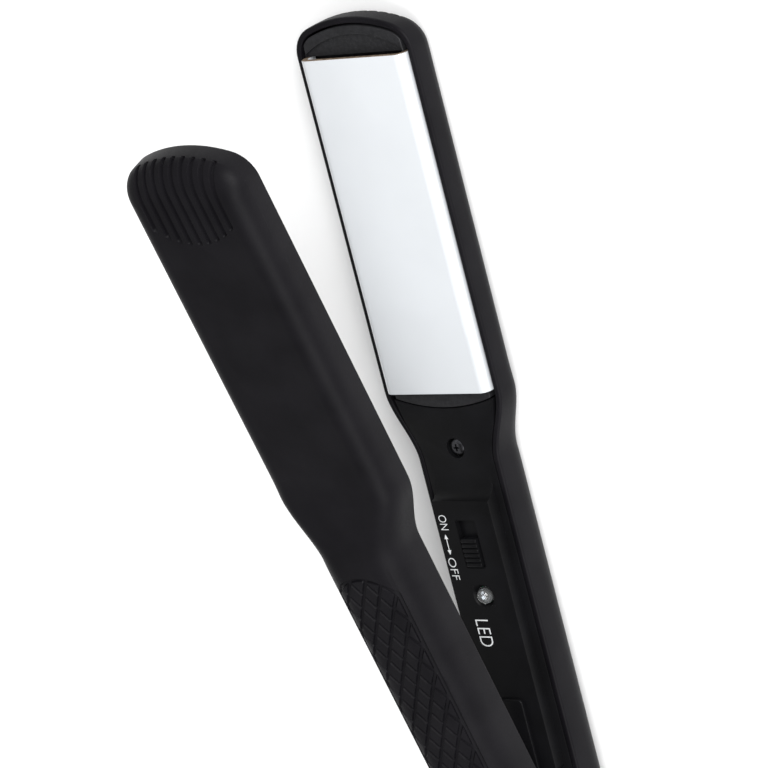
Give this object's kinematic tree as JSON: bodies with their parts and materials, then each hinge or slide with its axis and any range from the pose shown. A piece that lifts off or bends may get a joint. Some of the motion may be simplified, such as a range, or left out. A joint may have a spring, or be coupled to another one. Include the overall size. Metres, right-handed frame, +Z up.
{
  "type": "flat iron",
  "caption": "Hair straightening iron: two hinged black arms with white ceramic plates, slide switch, signal lamp and swivelling cord outlet, stored open.",
  "frame": {"origin": "on the surface the iron lies on, below the middle of its bounding box", "axes": "+X along the lower arm from the hinge to the tip, +Z up from the surface, +Y across the arms"},
  "size_m": [0.291, 0.043, 0.099],
  "materials": {
    "black_shell": "fine matt black moulding with a soft sheen",
    "black_cover": "black moulding, slightly smoother than the shell",
    "black_knob": "black moulding",
    "heat_plastic": "heat-resistant black moulding, satin",
    "white_ceramic": "glossy white ceramic coating on aluminium",
    "element_ceramic": "dull cream ceramic heating element",
    "aluminium": "bare extruded aluminium",
    "spring_steel": "bare spring steel",
    "black_screw": "black zinc-plated steel",
    "silicone": "red-brown silicone rubber",
    "dark_nylon": "dark grey nylon",
    "clear_lens": "clear epoxy lamp lens",
    "board_green": "green glass-fibre board",
    "brass": "brass fuse can",
    "lead_sleeve": "white glass-fibre sleeve"
  },
  "bodies": {
    "lower_arm": {"lower_outer_shell": "black_shell", "lower_inner_cover": "black_cover", "lower_plate_frame": "heat_plastic", "lower_cushion_rear": "silicone", "lower_cushion_front": "silicone", "lower_lead_a": "lead_sleeve", "lower_lead_b": "lead_sleeve", "lower_neck_screw": "black_screw", "lower_rear_screw": "black_screw", "switch_body": "dark_nylon", "signal_lamp": "clear_lens", "circuit_board": "board_green", "thermal_fuse": "brass", "hinge_pin": "spring_steel", "hinge_cap_left": "black_knob", "hinge_cap_right": "black_knob", "opening_spring": "spring_steel", "swivel_retainer": "dark_nylon"},
    "upper_arm": {"upper_outer_shell": "black_shell", "upper_inner_cover": "black_cover", "upper_plate_frame": "heat_plastic", "upper_cushion_rear": "silicone", "upper_cushion_front": "silicone", "upper_lead_a": "lead_sleeve", "upper_lead_b": "lead_sleeve", "upper_neck_screw": "black_screw", "upper_rear_screw": "black_screw"},
    "lower_plate": {"lower_plate": "white_ceramic", "lower_heat_spreader": "aluminium", "lower_heating_element": "element_ceramic", "lower_element_clip": "spring_steel"},
    "upper_plate": {"upper_plate": "white_ceramic", "upper_heat_spreader": "aluminium", "upper_heating_element": "element_ceramic", "upper_element_clip": "spring_steel"},
    "switch_knob": {"switch_knob": "black_knob"},
    "cord_swivel": {"cord_swivel": "black_knob"}
  },
  "joints": [
    {"name": "jaw_hinge", "type": "hinge", "parent": "lower_arm", "child": "upper_arm", "pos_m": [-0.12248, 0, 0.02263], "axis": [0, 1, 0], "range_deg": [0, 15.6], "stiffness_Nm_per_rad": 1.2, "springref_deg": -14.32, "deforming": ["opening_spring"]},
    {"name": "power_switch", "type": "slide", "parent": "lower_arm", "child": "switch_knob", "axis": [0.9995, 0, -0.0314], "range_m": [0, 0.0053]},
    {"name": "cord_turn", "type": "hinge", "parent": "lower_arm", "child": "cord_swivel", "pos_m": [-0.13775, 0, 0.0142], "axis": [0.9995, 0, -0.0314], "continuous": true},
    {"name": "lower_plate_float", "type": "slide", "parent": "lower_arm", "child": "lower_plate", "axis": [-0.0314, 0, -0.9995], "range_m": [0, 0.0012], "stiffness_N_per_m": 2000, "springref_m": -0.0006, "deforming": ["lower_cushion_rear", "lower_cushion_front"]},
    {"name": "upper_plate_float", "type": "slide", "parent": "upper_arm", "child": "upper_plate", "axis": [-0.2391, 0, 0.971], "range_m": [0, 0.0012], "stiffness_N_per_m": 2000, "springref_m": -0.0006, "deforming": ["upper_cushion_rear", "upper_cushion_front"]}
  ]
}
